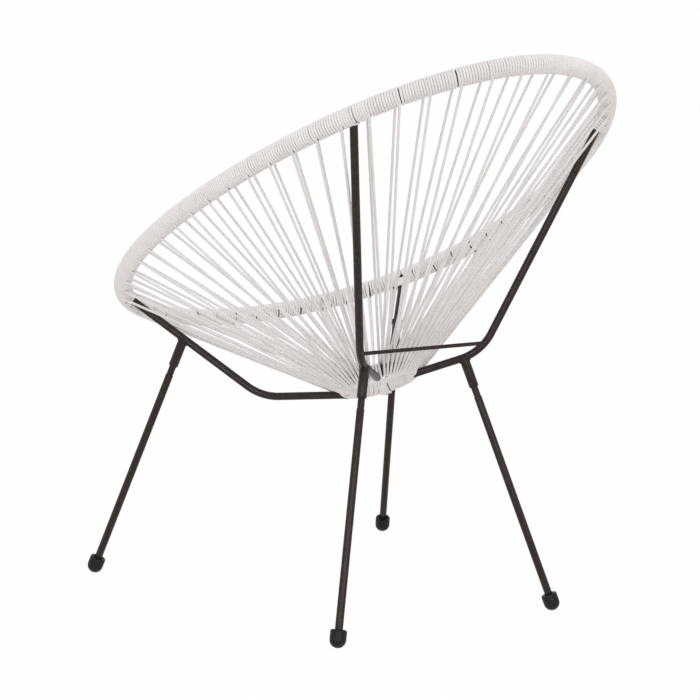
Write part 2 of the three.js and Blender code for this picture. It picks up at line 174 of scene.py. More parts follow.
light = brighter(AMBIENT_STRENGTH, KEY_DIRECTION, KEY_STRENGTH, KEY_FOCUS)
light = brighter(light, Vector((0, 0, 1)), TOP_STRENGTH, TOP_FOCUS)
soft = add_node(sky, "ShaderNodeBackground", {"Color": linear("FFFFFF"), "Strength": light})
white = add_node(sky, "ShaderNodeBackground", {"Color": linear("FFFFFF"), "Strength": 1.0})
mixed = add_node(sky, "ShaderNodeMixShader", {
    0: background_share(sky), 1: soft.outputs[0], 2: white.outputs[0],
})
add_node(sky, "ShaderNodeOutputWorld", {"Surface": mixed.outputs[0]})
bpy.context.scene.world = world
bpy.context.scene.view_settings.view_transform = "Standard"
print("sky", len(sky.nodes), "nodes")

# %% Strip lamps
SEAT = Vector((0, 0, 0.5))
STRIP_WIDTH = 0.14
STRIP_HEIGHT = 2.4
STRIP_POWER = 26
STRIP_AWAY = 2.6
STRIPS_ASIDE = {"left_strip": -0.8, "right_strip": 1.1}


def strip_lamp(name, place):
    """A tall area lamp that looks at the seat and shows only in the gloss."""
    data = bpy.data.lights.new(name, "AREA")
    data.shape = "RECTANGLE"
    data.size = STRIP_WIDTH
    data.size_y = STRIP_HEIGHT
    data.energy = STRIP_POWER
    lamp = bpy.data.objects.new(name, data)
    lamp.visible_diffuse = False
    turn = (place - SEAT).to_track_quat("Z", "Y").to_matrix().to_4x4()
    lamp.matrix_world = Matrix.Translation(place) @ turn
    bpy.context.scene.collection.objects.link(lamp)
    print(name, "at", [round(value, 2) for value in place])


for name, aside in STRIPS_ASIDE.items():
    strip_lamp(name, SEAT + STRIP_AWAY * back + aside * right)

# %% Floor
FLOOR_REACH = 40.0
FLOOR_WHITE_SHARE = 0.98
floor_finish = bpy.data.materials.new("painted_floor")
floor_finish.use_nodes = True
tree = floor_finish.node_tree
tree.nodes.clear()
paint = add_node(tree, "ShaderNodeBsdfDiffuse", {"Color": linear("F2EFED")})
glow = add_node(tree, "ShaderNodeEmission", {"Color": linear("FFFFFF"), "Strength": 1.0})
share = add_node(tree, "ShaderNodeMath", {
    0: background_share(tree), 1: FLOOR_WHITE_SHARE,
}, operation="MULTIPLY")
both = add_node(tree, "ShaderNodeMixShader", {0: share.outputs[0], 1: paint.outputs[0], 2: glow.outputs[0]})
add_node(tree, "ShaderNodeOutputMaterial", {"Surface": both.outputs[0]})
floor_mesh = bpy.data.meshes.new("floor")
corners = [(x * FLOOR_REACH, y * FLOOR_REACH, 0) for x, y in ((-1, -1), (1, -1), (1, 1), (-1, 1))]
floor_mesh.from_pydata(corners, [], [(0, 1, 2, 3)])
floor_mesh.materials.append(floor_finish)
floor = bpy.data.objects.new("floor", floor_mesh)
bpy.context.scene.collection.objects.link(floor)
print("floor", 2 * FLOOR_REACH, "m across")

# %% [markdown]
# ## Powder-coated steel
#
# The frame is mild steel tube and bar, sprayed with polyester powder and baked. The coat is thick, so
# it rounds the edges of welds, has a fine orange-peel skin, and is satin and not metallic. The skin is
# about 1 mm from dimple to dimple on the real coat and it is drawn a little coarser so that it shows.

# %% Powder coat
COAT_PATCH = 9 * MM
COAT_DIMPLE = 1.6 * MM
COAT_DIMPLE_DEPTH = 0.06 * MM


def new_finish(name):
    """An empty material with its output and its tree."""
    finish = bpy.data.materials.new(name)
    finish.use_nodes = True
    tree = finish.node_tree
    tree.nodes.clear()
    return finish, tree, add_node(tree, "ShaderNodeTexCoord").outputs["Object"]


def powder_coat():
    finish, tree, place = new_finish("powder_coated_steel")
    patches = add_node(tree, "ShaderNodeTexNoise", {"Vector": place, "Scale": 1 / COAT_PATCH, "Detail": 3.0})
    colour = add_node(tree, "ShaderNodeValToRGB", {"Fac": patches.outputs["Fac"]})
    colour.color_ramp.elements[0].position = 0.3
    colour.color_ramp.elements[0].color = linear("2B221F")
    colour.color_ramp.elements[1].position = 0.75
    colour.color_ramp.elements[1].color = linear("3A2F2B")
    gloss = add_node(tree, "ShaderNodeMapRange", {
        "Value": patches.outputs["Fac"], "From Min": 0.3, "From Max": 0.7, "To Min": 0.2, "To Max": 0.32,
    })
    peel = add_node(tree, "ShaderNodeTexNoise", {"Vector": place, "Scale": 1 / COAT_DIMPLE, "Detail": 2.0})
    skin = add_node(tree, "ShaderNodeBump", {
        "Height": peel.outputs["Fac"], "Strength": 0.25, "Distance": COAT_DIMPLE_DEPTH,
    })
    shader = add_node(tree, "ShaderNodeBsdfPrincipled", {
        "Base Color": colour.outputs["Color"],
        "Roughness": gloss.outputs["Result"],
        "Normal": skin.outputs["Normal"],
        "IOR": 1.27,
    })
    add_node(tree, "ShaderNodeOutputMaterial", {"Surface": shader.outputs["BSDF"]})
    return finish


# %% [markdown]
# ## Plastic cord
#
# The cord is extruded PVC over a fibre core: smooth, white and satin. It leaves the die with a faint
# ripple, and handling leaves it a touch warmer here and there.

# %% Cord finish
CORD_PATCH = 28 * MM
CORD_RIPPLE = 7 * MM
CORD_RIPPLE_DEPTH = 0.03 * MM


def plastic_cord():
    finish, tree, place = new_finish("extruded_white_cord")
    cloudy = add_node(tree, "ShaderNodeTexNoise", {"Vector": place, "Scale": 1 / CORD_PATCH, "Detail": 2.0})
    colour = add_node(tree, "ShaderNodeValToRGB", {"Fac": cloudy.outputs["Fac"]})
    colour.color_ramp.elements[0].position = 0.3
    colour.color_ramp.elements[0].color = linear("F0EDEB")
    colour.color_ramp.elements[1].position = 0.7
    colour.color_ramp.elements[1].color = linear("F8F5F3")
    ripple = add_node(tree, "ShaderNodeTexNoise", {"Vector": place, "Scale": 1 / CORD_RIPPLE, "Detail": 1.0})
    skin = add_node(tree, "ShaderNodeBump", {
        "Height": ripple.outputs["Fac"], "Strength": 0.2, "Distance": CORD_RIPPLE_DEPTH,
    })
    shader = add_node(tree, "ShaderNodeBsdfPrincipled", {
        "Base Color": colour.outputs["Color"],
        "Roughness": 0.48,
        "IOR": 1.45,
        "Normal": skin.outputs["Normal"],
    })
    add_node(tree, "ShaderNodeOutputMaterial", {"Surface": shader.outputs["BSDF"]})
    return finish


# %% [markdown]
# ## Rubber and zinc
#
# The feet are moulded black rubber: almost matt, with a fine grain from the mould and paler scuffs near
# the floor. The studs inside the sockets are zinc-plated steel, which is metallic and slightly cloudy.

# %% Rubber finish
SCUFF_HEIGHT = 12 * MM
SCUFF_SIZE = 3 * MM
MOULD_GRAIN = 0.8 * MM
MOULD_GRAIN_DEPTH = 0.1 * MM


def moulded_rubber():
    finish, tree, place = new_finish("moulded_rubber")
    height = add_node(tree, "ShaderNodeSeparateXYZ", {"Vector": place})
    low = add_node(tree, "ShaderNodeMapRange", {
        "Value": height.outputs["Z"], "From Min": 0.0, "From Max": SCUFF_HEIGHT, "To Min": 1.0, "To Max": 0.0,
    })
    scuff = add_node(tree, "ShaderNodeTexNoise", {"Vector": place, "Scale": 1 / SCUFF_SIZE, "Detail": 4.0})
    worn = add_node(tree, "ShaderNodeMath", {
        0: low.outputs["Result"], 1: scuff.outputs["Fac"],
    }, operation="MULTIPLY")
    colour = add_node(tree, "ShaderNodeMix", {
        "Factor": worn.outputs[0], "A": linear("151212"), "B": linear("383331"),
    }, data_type="RGBA")
    grain = add_node(tree, "ShaderNodeTexNoise", {"Vector": place, "Scale": 1 / MOULD_GRAIN, "Detail": 2.0})
    skin = add_node(tree, "ShaderNodeBump", {
        "Height": grain.outputs["Fac"], "Strength": 0.4, "Distance": MOULD_GRAIN_DEPTH,
    })
    shader = add_node(tree, "ShaderNodeBsdfPrincipled", {
        "Base Color": colour.outputs["Result"],
        "Roughness": 0.42,
        "Specular IOR Level": 0.2,
        "Normal": skin.outputs["Normal"],
    })
    add_node(tree, "ShaderNodeOutputMaterial", {"Surface": shader.outputs["BSDF"]})
    return finish


# %% Zinc finish
ZINC_BLOOM = 2.5 * MM


def zinc_plate():
    finish, tree, place = new_finish("zinc_plated_steel")
    cloudy = add_node(tree, "ShaderNodeTexNoise", {"Vector": place, "Scale": 1 / ZINC_BLOOM, "Detail": 3.0})
    gloss = add_node(tree, "ShaderNodeMapRange", {
        "Value": cloudy.outputs["Fac"], "To Min": 0.22, "To Max": 0.42,
    })
    shader = add_node(tree, "ShaderNodeBsdfPrincipled", {
        "Base Color": linear("A5A5A2"),
        "Metallic": 1.0,
        "Roughness": gloss.outputs["Result"],
    })
    add_node(tree, "ShaderNodeOutputMaterial", {"Surface": shader.outputs["BSDF"]})
    return finish


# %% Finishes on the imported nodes
steel_finish = powder_coat()
cord_finish = plastic_cord()
rubber_finish = moulded_rubber()
zinc_finish = zinc_plate()
finish_of_slot = {
    "steel_frame": steel_finish,
    "white_cord": cord_finish,
    "foot_rubber": rubber_finish,
    "zinc_stud": zinc_finish,
}
for part in frame["record"]["subparts"]:
    node_object = frame["nodes"][part["node"]]
    node_object.data.materials.clear()
    node_object.data.materials.append(finish_of_slot[part["material_slot"]])
print("finishes:", ", ".join(finish.name for finish in finish_of_slot.values()))

# %% [markdown]
# ## The frame's lines
#
# Every bar of the frame follows a line that a few sizes give. The hoop round the seat is an ellipse that
# is drawn in behind the head, in a plane that leans back. The small ring below is a plain circle. These
# are the same sizes as the imported model's.

# %% Sizes of the frame
HOOP_TUBE_D = 20.5 * MM
HOOP_HALF_LENGTH = 447.3 * MM
HOOP_HALF_WIDTH = 357.9 * MM
HOOP_HEIGHT = 625.9 * MM
HOOP_LEAN = math.radians(31.4)
HOOP_TAPER_SHARE = -0.153
HOOP_FULLNESS_SHARE = 0.027

RING_TUBE_D = 16 * MM
RING_RADIUS = 54 * MM
RING_BACK = 27.2 * MM
RING_HEIGHT = 351.9 * MM
RING_LEAN = math.radians(29.5)

ROD_D = 12 * MM
BEND_RADIUS = 80 * MM
BRACE_D = 6 * MM
BRACE_ABOVE_BEND = 16.4 * MM


def hoop_point(angle):
    """The hoop's middle line. Zero is the top of the back, a quarter turn is the sitter's left."""
    egg = 1 + HOOP_TAPER_SHARE * math.cos(angle) + HOOP_FULLNESS_SHARE * math.cos(2 * angle)
    along = HOOP_HALF_LENGTH * math.cos(angle)
    return Vector((
        HOOP_HALF_WIDTH * math.sin(angle) * egg,
        along * math.cos(HOOP_LEAN),
        HOOP_HEIGHT + along * math.sin(HOOP_LEAN),
    ))


def ring_point(angle):
    """The ring's middle line, with its angles counted as on the hoop."""
    along = RING_RADIUS * math.cos(angle)
    return Vector((
        RING_RADIUS * math.sin(angle),
        RING_BACK + along * math.cos(RING_LEAN),
        RING_HEIGHT + along * math.sin(RING_LEAN),
    ))


def tangent(curve, angle):
    """The direction of a curve at an angle, from two points close by."""
    step = math.radians(0.05)
    return (curve(angle + step) - curve(angle - step)).normalized()


# %% [markdown]
# ## One tree that sweeps a round section along a path
#
# Tubes, rods and cord are all a round section that follows a line. A Geometry Nodes tree does that once
# for all of them: it turns a chain of edges into a curve, sweeps a circle along it and sets the finish.
# A path could also be a curve object with a bevel, but the tree keeps the section's diameter and sides
# as named inputs. The result is turned into a plain mesh, and the modifier goes.

# %% The sweeping tree
def set_input(modifier, name, value):
    """Sets a modifier's input by the identifier of the socket that has that name."""
    for item in modifier.node_group.interface.items_tree:
        if item.item_type == "SOCKET" and item.in_out == "INPUT" and item.name == name:
            modifier[item.identifier] = value


def new_tree(name, sockets):
    """A Geometry Nodes tree with its geometry sockets and these further named inputs."""
    tree = bpy.data.node_groups.new(name, "GeometryNodeTree")
    tree.interface.new_socket("Path", in_out="INPUT", socket_type="NodeSocketGeometry")
    for label, kind in sockets.items():
        tree.interface.new_socket(label, in_out="INPUT", socket_type=kind)
    tree.interface.new_socket("Result", in_out="OUTPUT", socket_type="NodeSocketGeometry")
    return tree, tree.nodes.new("NodeGroupInput").outputs


def finish_tree(tree, geometry, finish):
    """Ends a tree in Realize Instances and Set Material."""
    real = add_node(tree, "GeometryNodeRealizeInstances", {"Geometry": geometry})
    coated = add_node(tree, "GeometryNodeSetMaterial", {
        "Geometry": real.outputs["Geometry"], "Material": finish,
    })
    add_node(tree, "NodeGroupOutput", {"Result": coated.outputs["Geometry"]})
    return tree


def sweep_tree():
    tree, given = new_tree("sweep_round_section", {
        "Diameter": "NodeSocketFloat", "Sides": "NodeSocketInt", "Finish": "NodeSocketMaterial",
    })
    line = add_node(tree, "GeometryNodeMeshToCurve", {"Mesh": given["Path"]})
    radius = add_node(tree, "ShaderNodeMath", {0: given["Diameter"], 1: 2.0}, operation="DIVIDE")
    section = add_node(tree, "GeometryNodeCurvePrimitiveCircle", {
        "Resolution": given["Sides"], "Radius": radius.outputs[0],
    })
    tube = add_node(tree, "GeometryNodeCurveToMesh", {
        "Curve": line.outputs["Curve"], "Profile Curve": section.outputs["Curve"], "Fill Caps": True,
    })
    return finish_tree(tree, tube.outputs["Mesh"], given["Finish"])


SWEEP = sweep_tree()
SHARP_EDGE = math.radians(38)


def new_object(name, mesh):
    piece = bpy.data.objects.new(name, mesh)
    bpy.context.scene.collection.objects.link(piece)
    return piece


def path_object(name, points, closed=False):
    """A chain of edges through points, which a tree then follows."""
    mesh = bpy.data.meshes.new(name)
    edges = [(i, i + 1) for i in range(len(points) - 1)]
    if closed:
        edges.append((len(points) - 1, 0))
    mesh.from_pydata(points, edges, [])
    return new_object(name, mesh)


def grown(piece, tree, **values):
    """Runs a tree on an object and keeps the result as its plain mesh."""
    modifier = piece.modifiers.new("grow", "NODES")
    modifier.node_group = tree
    for name, value in values.items():
        set_input(modifier, name, value)
    graph = bpy.context.evaluated_depsgraph_get()
    mesh = bpy.data.meshes.new_from_object(piece.evaluated_get(graph))
    piece.modifiers.clear()
    piece.data = mesh
    mesh.set_sharp_from_angle(angle=SHARP_EDGE)
    return piece


def swept(name, points, diameter, sides, finish, closed=False):
    return grown(path_object(name, points, closed), SWEEP, Diameter=diameter, Sides=sides, Finish=finish)


def settle(piece, slot, *nodes):
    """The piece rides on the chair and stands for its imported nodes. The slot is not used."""
    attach(piece, "root")
    if nodes:
        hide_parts(*nodes)
    print(piece.name, len(piece.data.polygons), "faces")


# %% Hoop and ring
HOOP_STEPS = 240
RING_STEPS = 72
TUBE_SIDES = 28
hoop_line = [hoop_point(FULL_TURN * i / HOOP_STEPS) for i in range(HOOP_STEPS)]
ring_line = [ring_point(FULL_TURN * i / RING_STEPS) for i in range(RING_STEPS)]
for name, line, diameter, node in (
    ("hoop", hoop_line, HOOP_TUBE_D, "rim_tube"),
    ("ring", ring_line, RING_TUBE_D, "base_ring"),
):
    tube = swept(name, line, diameter, TUBE_SIDES, steel_finish, closed=True)
    settle(tube, "steel_frame", node)

# %% [markdown]
# ## Stations of the cord
#
# A station is where one loop of cord leaves the hoop, goes down to the ring, turns under it and comes
# back. The four rods cut the hoop into four bays, and each bay shares its stations evenly, on the hoop
# by length and on the ring by angle. The ring keeps a gap for each rod's arm.

# %% Bays and stations
REAR_ROD_ANGLE = math.radians(48.1)
FRONT_ROD_ANGLE = math.radians(135.7)
BAY_STATIONS = {"rear": 13, "left": 16, "front": 15, "right": 16}
ARM_GAP = math.radians(16)
LENGTH_SAMPLES = 2880

station_count = sum(BAY_STATIONS.values())
ring_pitch = (FULL_TURN - len(BAY_STATIONS) * ARM_GAP) / station_count
rear_arm_angle = (BAY_STATIONS["rear"] * ring_pitch + ARM_GAP) / 2
front_arm_angle = rear_arm_angle + BAY_STATIONS["left"] * ring_pitch + ARM_GAP

hoop_lengths = [0.0]
for i in range(LENGTH_SAMPLES):
    first = hoop_point(FULL_TURN * i / LENGTH_SAMPLES)
    second = hoop_point(FULL_TURN * (i + 1) / LENGTH_SAMPLES)
    hoop_lengths.append(hoop_lengths[-1] + (second - first).length)
hoop_length = hoop_lengths[-1]


def hoop_length_at(angle):
    """The length along the hoop from the top of the back to an angle."""
    place = angle / FULL_TURN * LENGTH_SAMPLES
    whole = int(place)
    return hoop_lengths[whole] + (hoop_lengths[whole + 1] - hoop_lengths[whole]) * (place - whole)


def hoop_angle_at(length):
    """The angle on the hoop at a length from the top of the back."""
    wrapped = length % hoop_length
    low, high = 0, LENGTH_SAMPLES
    while high - low > 1:
        middle = (low + high) // 2
        if hoop_lengths[middle] <= wrapped:
            low = middle
        else:
            high = middle
    share = (wrapped - hoop_lengths[low]) / (hoop_lengths[high] - hoop_lengths[low])
    return FULL_TURN * (low + share) / LENGTH_SAMPLES


rear_along = hoop_length_at(REAR_ROD_ANGLE)
front_along = hoop_length_at(FRONT_ROD_ANGLE)
bay_ends = {
    "rear": (-rear_along, rear_along, -rear_arm_angle),
    "left": (rear_along, front_along, rear_arm_angle),
    "front": (front_along, hoop_length - front_along, front_arm_angle),
    "right": (hoop_length - front_along, hoop_length - rear_along, FULL_TURN - front_arm_angle),
}
stations = []
for bay, count in BAY_STATIONS.items():
    start, end, ring_start = bay_ends[bay]
    for i in range(count):
        stations.append({
            "bay": bay,
            "along": start + (i + 0.5) * (end - start) / count,
            "ring_angle": ring_start + ARM_GAP / 2 + (i + 0.5) * ring_pitch,
            "by_rod": i == count - 1,
        })
print("hoop", round(hoop_length / MM), "mm round,", len(stations), "stations")

# %% [markdown]
# ## The rods
#
# Two rods on each side carry the hoop. A rod runs straight from the hoop to a corner, where it is bent
# towards the ring, and its arm ends a little below the ring's middle line. The winding has to know where
# the rods are before they are drawn, so their sizes come first. Left and right are mirror images.

# %% Sizes of the rods
SIDE_SIGN = {"left": 1, "right": -1}
rods = {
    "rear": {
        "hoop_angle": REAR_ROD_ANGLE,
        "ring_angle": rear_arm_angle,
        "corner": Vector((117.4, 132, 402)) * MM,
        "drop": 10 * MM,
        "foot": Vector((208, 220.9, 0)) * MM,
        "socket_from_bend": 28.7 * MM,
    },
    "front": {
        "hoop_angle": FRONT_ROD_ANGLE,
        "ring_angle": front_arm_angle,
        "corner": Vector((125, -110, 311)) * MM,
        "drop": 9.2 * MM,
        "foot": Vector((293.1, -325.2, 0)) * MM,
        "socket_from_bend": 153.4 * MM,
    },
}


def mirrored(point, sign):
    """A point of the left side for sign 1, and its mirror image on the right for sign -1."""
    return Vector((point.x * sign, point.y, point.z))


for place, rod in rods.items():
    print(place, "rods bend at a height of", round(rod["corner"].z / MM), "mm")

# %% [markdown]
# ## The winding
#
# The cord is one line. From the hoop's outer face it runs down to the ring's outer face, turns under the
# ring, comes up from its inner face to the hoop's inner face, and then goes about ten times round the
# hoop to the next station, tight enough to hide the steel. A hand never lays it evenly, so the pitch
# wanders a little and now and then a slit shows the dark tube. On the underside the nearest turns lean
# over to close the place that a pair of strands leaves open. Where a rod meets the hoop, the turns part
# there to pass the weld and close again on top. The cord is 4 mm thick and is drawn a hair thinner, as it
# is when it is pulled tight, so that the groove between two turns shows.

# %% Sizes of the winding
CORD_D = 4 * MM
TIGHT_CORD_D = 3.9 * MM
TURN_PITCH = 4.02 * MM
TURN_STEPS = 20
STATION_OFFSET = 1.0 * MM
HAND_WANDER = 0.1 * MM
SPARE_WANDERS = 3
STRAND_WANDER = 0.45 * MM
STRAND_STEP = 30 * MM

# A slit's width, and where it may open: in turns after the first strand or before the second
WIDEST_SLIT = 1.5 * MM
SLIT_SHARES = {
    "rear": (0.0, 0.3, 0.5, 0.8, 1.0),
    "left": (0.0, 0.0, 0.0, 0.2, 0.4),
    "front": (0.0, 0.0, 0.15, 0.4),
    "right": (0.0, 0.0, 0.15, 0.4),
}
SLIT_TURNS = 0.8
SLITS_AFTER = (0.15, 0.4)
SLITS_BEFORE = (1.0, 1.3)

# How many turns lean over to close the place below a pair of strands, and how far they go
CLOSING_TURNS = 5
CLOSINGS = (0.6 * MM, 1.4 * MM, 2.0 * MM)

# By a rod: the room it needs, the turns, and the cosine from its direction where the turns start to part
ROD_MARGIN = 0.5 * MM
ROD_CLEARANCE = ROD_D / 2 + CORD_D / 2 + ROD_MARGIN
ROD_TURNS = 10.5
ROD_SLIT_SHARE = 0.8
PARTING_COSINE = 0.45
PARTING_EASE = 0.4
ROD_AFTER_BAY = {"rear": ("rear", 1), "left": ("front", 1), "front": ("front", -1), "right": ("rear", -1)}
HAND_SEED = 7
hand = random.Random(HAND_SEED)
print(TURN_STEPS, "points a turn,", round(TURN_PITCH / MM, 2), "mm from turn to turn")


# %% Points on the two tubes
def facings(along_tube, toward):
    """Directions square to a tube: towards the other tube, and outwards from the seat."""
    down = (toward - along_tube * toward.dot(along_tube)).normalized()
    return down, along_tube.cross(down).normalized()


def wound(middle, along_tube, toward, radius, turn):
    """A point of the cord round a tube. Zero is the outer face, a quarter turn faces the other tube."""
    down, out = facings(along_tube, toward)
    return middle + (out * math.cos(turn) + down * math.sin(turn)) * radius


def on_hoop(along, ring_angle, turn):
    angle = hoop_angle_at(along)
    middle = hoop_point(angle)
    radius = (HOOP_TUBE_D + CORD_D) / 2
    return wound(middle, tangent(hoop_point, angle), ring_point(ring_angle) - middle, radius, turn)


def on_ring(along, ring_angle, turn):
    middle = ring_point(ring_angle)
    radius = (RING_TUBE_D + CORD_D) / 2
    toward = middle - hoop_point(hoop_angle_at(along))
    return wound(middle, tangent(ring_point, ring_angle), toward, radius, turn)


def station(index):
    """A station's places on the hoop and the ring, counted on past a full lap, and if a rod follows."""
    lap, place = divmod(index, len(stations))
    found = stations[place]
    return found["along"] + lap * hoop_length, found["ring_angle"] + lap * FULL_TURN, found["by_rod"]


# %% Passing a rod and closing the underside
def smooth(value):
    """Goes from 0 to 1 as value does, with level ends."""
    value = min(max(value, 0.0), 1.0)
    return value * value * (3 - 2 * value)


def rod_angle_after(bay, along, ring_angle):
    """Where round the hoop the rod after this bay leaves it, as an angle of the winding."""
    hoop_angle = hoop_angle_at(along)
    weld = hoop_point(hoop_angle)
    down, out = facings(tangent(hoop_point, hoop_angle), ring_point(ring_angle) - weld)
    place, sign = ROD_AFTER_BAY[bay]
    rod = rods[place]
    leaving = mirrored(rod["corner"] - hoop_point(rod["hoop_angle"]), sign)
    return math.atan2(leaving.dot(down), leaving.dot(out))


def parting(offset, free):
    """How far a turn moves along the hoop to pass the rod: most beside it, nothing at the stations."""
    passed = math.copysign(ROD_CLEARANCE + abs(offset) * (1 - ROD_CLEARANCE / (free / 2)), offset)
    return passed - offset


def underside_lean(turn, turns, first_closing, last_closing):
    """How far a turn's underside leans over towards the nearer pair of strands."""
    lean = last_closing * max(0, 1 - (turns - turn) / CLOSING_TURNS)
    return lean - first_closing * max(0, 1 - turn / CLOSING_TURNS)


# %% Turns on the hoop
def hoop_winding(index):
    """The cord from one station's return at the inner face to the next one's departure at the outer."""
    here, ring_here, by_rod = station(index)
    there, ring_there, _ = station(index + 1)
    here += STATION_OFFSET
    there -= STATION_OFFSET
    free = there - here
    middle = (here + there) / 2
    bay = stations[index % len(stations)]["bay"]
    slit = (ROD_SLIT_SHARE if by_rod else hand.choice(SLIT_SHARES[bay])) * WIDEST_SLIT
    turns = ROD_TURNS if by_rod else round((free - slit) / TURN_PITCH - 0.5) + 0.5
    pitch = (free - slit) / turns
    late_slits = [turns - before for before in SLITS_BEFORE]
    slit_at = hand.choice((*SLITS_AFTER, *late_slits, hand.uniform(1, turns - 2)))
    wander = [hand.uniform(-HAND_WANDER, HAND_WANDER) for _ in range(int(turns) + SPARE_WANDERS)]
    first_closing, last_closing = hand.choice(CLOSINGS), hand.choice(CLOSINGS)
    if by_rod:
        rod_angle = rod_angle_after(bay, middle, (ring_here + ring_there) / 2)
        slit_at = turns / 2 - SLIT_TURNS / 2
    points = []
    steps = round(turns * TURN_STEPS)
    for step in range(steps + 1):
        turn = step / TURN_STEPS
        angle = HALF_TURN + turn * FULL_TURN
        whole = int(turn)
        drift = wander[whole] + (wander[whole + 1] - wander[whole]) * smooth(turn - whole)
        inside = smooth(turn) * smooth(turns - turn)
        along = here + turn * pitch + slit * smooth((turn - slit_at) / SLIT_TURNS) + drift * inside
        if by_rod:
            near_rod = smooth((math.cos(angle - rod_angle) - PARTING_COSINE) / PARTING_EASE)
            along += near_rod * parting(along - middle, free) * inside
        along += max(0, math.sin(angle)) * underside_lean(turn, turns, first_closing, last_closing)
        share = step / steps
        points.append(on_hoop(along, ring_here + (ring_there - ring_here) * share, angle))
    return points


# %% Turns under the ring, and strands
def ring_turn(index):
    """The half turn under the ring between a station's outer strand and its inner one."""
    along, ring_angle, _ = station(index)
    shift = hand.uniform(-STRAND_WANDER, STRAND_WANDER) / RING_RADIUS
    points = []
    steps = TURN_STEPS // 2
    for step in range(steps + 1):
        share = step / steps
        angle = ring_angle + shift + (share - 0.5) * ring_pitch / 2
        points.append(on_ring(along, angle, share * HALF_TURN))
    return points


def with_strand_points(points):
    """Adds points along each long strand, so that its faces stay short and its shading even."""
    result = [points[0]]
    for start, end in zip(points, points[1:]):
        length = (end - start).length
        if length > STRAND_STEP:
            pieces = round(length / STRAND_STEP)
            shares = [CORD_D / length, *[i / pieces for i in range(1, pieces)], 1 - CORD_D / length]
            result += [start.lerp(end, share) for share in shares]
        result.append(end)
    return result


# %% Cord by bay
CORD_SIDES = 14
CORD_NODES = {"rear": 3, "left": 4, "front": 3, "right": 4}
# The winding before the first station is also the one after the last
windings = [hoop_winding(index) for index in range(-1, len(stations))]
windings[-1] = windings[0]
halves = []
for winding in windings:
    cut = len(winding) // 2
    halves.append((winding[:cut + 1], winding[cut:]))
cord_length = 0.0
first_station = 0
for bay, count in BAY_STATIONS.items():
    route = list(halves[first_station][1])
    for index in range(first_station, first_station + count):
        route += ring_turn(index)
        last = index == first_station + count - 1
        route += halves[index + 1][0] if last else windings[index + 1]
    cord_length += sum((b - a).length for a, b in zip(route, route[1:]))
    cord = swept(f"cord_{bay}", with_strand_points(route), TIGHT_CORD_D, CORD_SIDES, cord_finish)
    settle(cord, "white_cord", *[f"cord_{bay}_{i + 1}" for i in range(CORD_NODES[bay])])
    first_station += count
print("cord", round(cord_length, 1), "m")

# %% [markdown]
# ## Rods and brace
#
# Each rod is one bar, bent once round a former: straight from the hoop, a round bend, and a straight arm
# to the ring. The rod's path is worked out as the bender would mark it, by the corner of its two lines
# and the radius of the bend, and the sweeping tree gives it its section.

# %% Rods
BEND_STEPS = 24
ROD_SIDES = 28
ROD_SINK = 6 * MM
ring_normal = Vector((0, -math.sin(RING_LEAN), math.cos(RING_LEAN)))


def rod_ends(rod):
    """A left-hand rod's two ends: on the hoop's middle line, and below the ring's by the rod's drop."""
    return hoop_point(rod["hoop_angle"]), ring_point(rod["ring_angle"]) - ring_normal * rod["drop"]


def rod_path(rod):
    """The left-hand rod's middle line, with the bend as an arc."""
    top, end = rod_ends(rod)
    corner = rod["corner"]
    into = (corner - top).normalized()
    away = (end - corner).normalized()
    bend = into.angle(away)
    setback = BEND_RADIUS * math.tan(bend / 2)
    inward = (away - into * math.cos(bend)).normalized()
    arc_start = corner - into * setback
    points = [top + into * ROD_SINK]
    for step in range(BEND_STEPS + 1):
        turned = bend * step / BEND_STEPS
        points.append(
            arc_start
            + into * BEND_RADIUS * math.sin(turned)
            + inward * BEND_RADIUS * (1 - math.cos(turned))
        )
    points.append(end)
    return points


for place, rod in rods.items():
    for side, sign in SIDE_SIGN.items():
        line = [mirrored(point, sign) for point in rod_path(rod)]
        piece = swept(f"{place}_{side}_bent_rod", line, ROD_D, ROD_SIDES, steel_finish)
        settle(piece, "steel_frame", f"{place}_{side}_rod")

# %% Brace
BRACE_INSET = 3 * MM
top, _ = rod_ends(rods["rear"])
brace_end = rods["rear"]["corner"] + (top - rods["rear"]["corner"]).normalized() * BRACE_ABOVE_BEND
inner_end = brace_end - Vector((BRACE_INSET, 0, 0))
brace = swept("cross_brace", [mirrored(inner_end, -1), inner_end], BRACE_D, ROD_SIDES, steel_finish)
settle(brace, "steel_frame", "rear_brace")

# %% [markdown]
# ## Wraps over the arm ends
#
# Where a rod's arm meets the ring there is no station, so the steel would show there. On the real chair
# the cord goes a few times round the ring and the end of the arm together. The turns lie side by side
# and hang a little lower than their neighbours, by what they need to take in the arm's end.

# %% Wraps
WRAP_TURNS = 4
WRAP_PITCH = 3.95 * MM
WRAP_BULGE = 3 * MM


def arm_wrap(ring_angle):
    """Turns round the ring that also take in the end of an arm. They start and stop on the ring's inside."""
    radius = (RING_TUBE_D + CORD_D) / 2
    points = []
    for step in range(WRAP_TURNS * TURN_STEPS + 1):
        turn = step / TURN_STEPS
        middle = ring_point(ring_angle + (turn - WRAP_TURNS / 2) * WRAP_PITCH / RING_RADIUS)
        outward = (middle - ring_centre).normalized() * -math.cos(turn * FULL_TURN)
        depth = -math.sin(turn * FULL_TURN)
        points.append(middle + outward * radius - ring_normal * depth * (radius + max(depth, 0) * WRAP_BULGE))
    return points


ring_centre = (ring_point(0) + ring_point(HALF_TURN)) / 2
for place, rod in rods.items():
    for side, sign in SIDE_SIGN.items():
        line = [mirrored(point, sign) for point in arm_wrap(rod["ring_angle"])]
        wrap = swept(f"{place}_{side}_arm_wrap", line, TIGHT_CORD_D, CORD_SIDES, cord_finish)
        settle(wrap, "white_cord")

